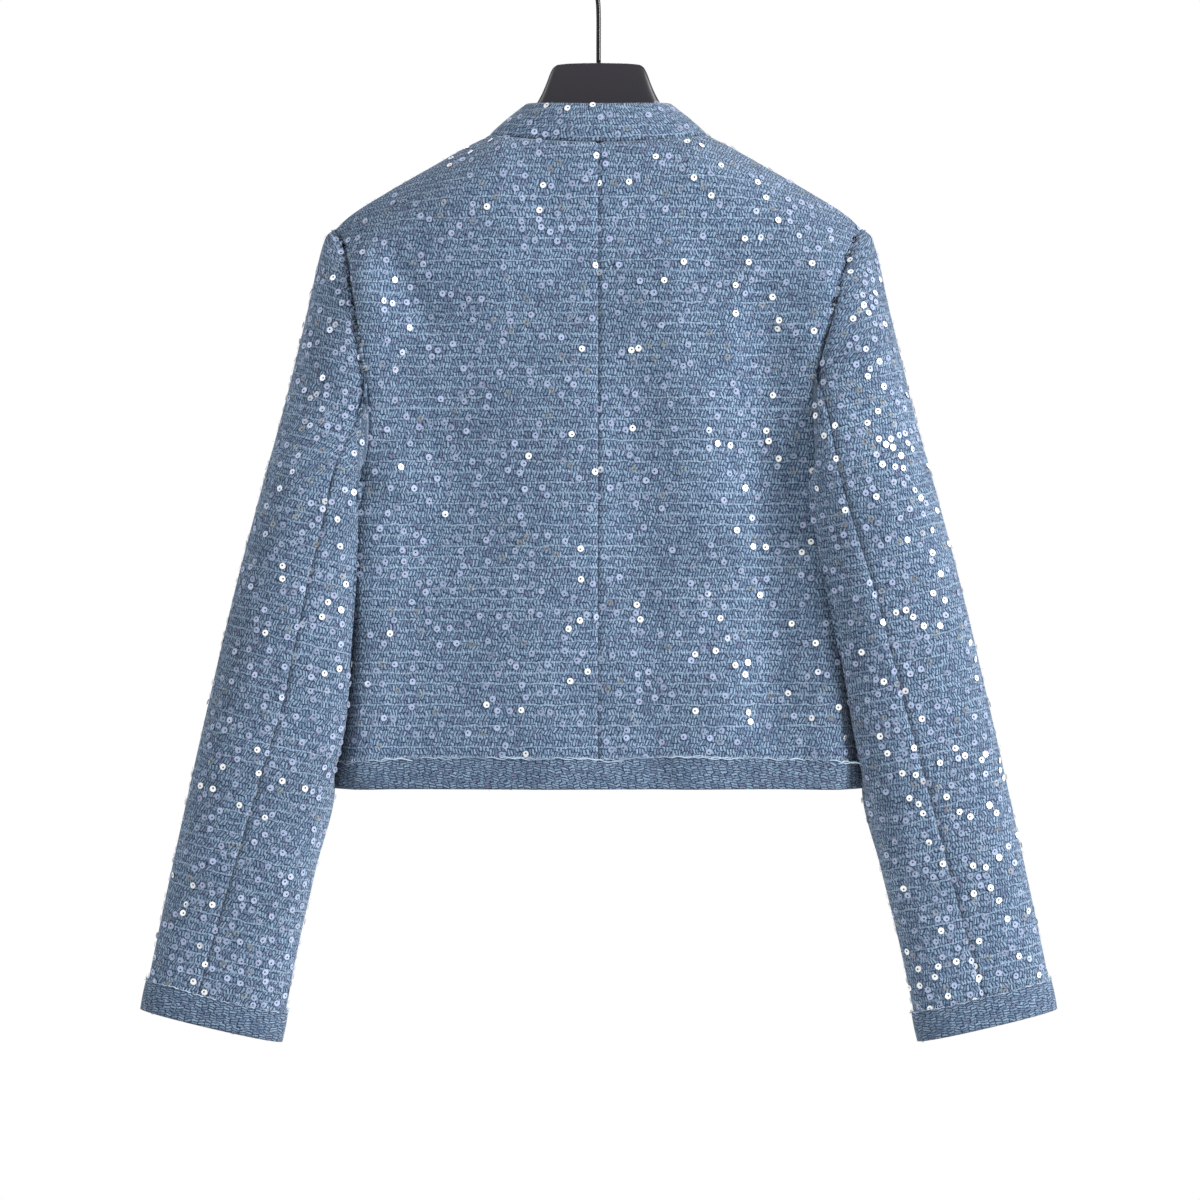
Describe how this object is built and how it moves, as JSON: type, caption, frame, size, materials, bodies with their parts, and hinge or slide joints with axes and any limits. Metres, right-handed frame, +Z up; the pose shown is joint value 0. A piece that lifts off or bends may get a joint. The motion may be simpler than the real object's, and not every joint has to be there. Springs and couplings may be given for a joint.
{
  "type": "boucle blazer on a hanger",
  "caption": "Cropped boucle blazer with stand collar, long two-piece sleeves and trimmed hem and cuffs, hung open on a broad-shouldered coat hanger.",
  "frame": {"origin": "inside top of the hanger's hook, where the rail carries it", "axes": "+Z up, +X towards the wearer's left sleeve, +Y out of the back of the blazer"},
  "size_m": [0.6979, 0.127, 0.8602],
  "materials": {
    "boucle": "looped tweed weave with sheen",
    "trim": "cross-grain tweed weave",
    "hanger_plastic": "satin",
    "hook_metal": "black gloss"
  },
  "bodies": {
    "root": {"back_left": "boucle", "back_right": "boucle", "front_left": "boucle", "front_right": "boucle", "sleeve_upper_left": "boucle", "sleeve_upper_right": "boucle", "sleeve_under_left": "boucle", "sleeve_under_right": "boucle", "collar": "boucle", "hem_trim_back": "trim", "hem_trim_front_left": "trim", "hem_trim_front_right": "trim", "cuff_trim_left": "trim", "cuff_trim_right": "trim", "hanger": "hanger_plastic", "hook": "hook_metal"}
  },
  "joints": []
}
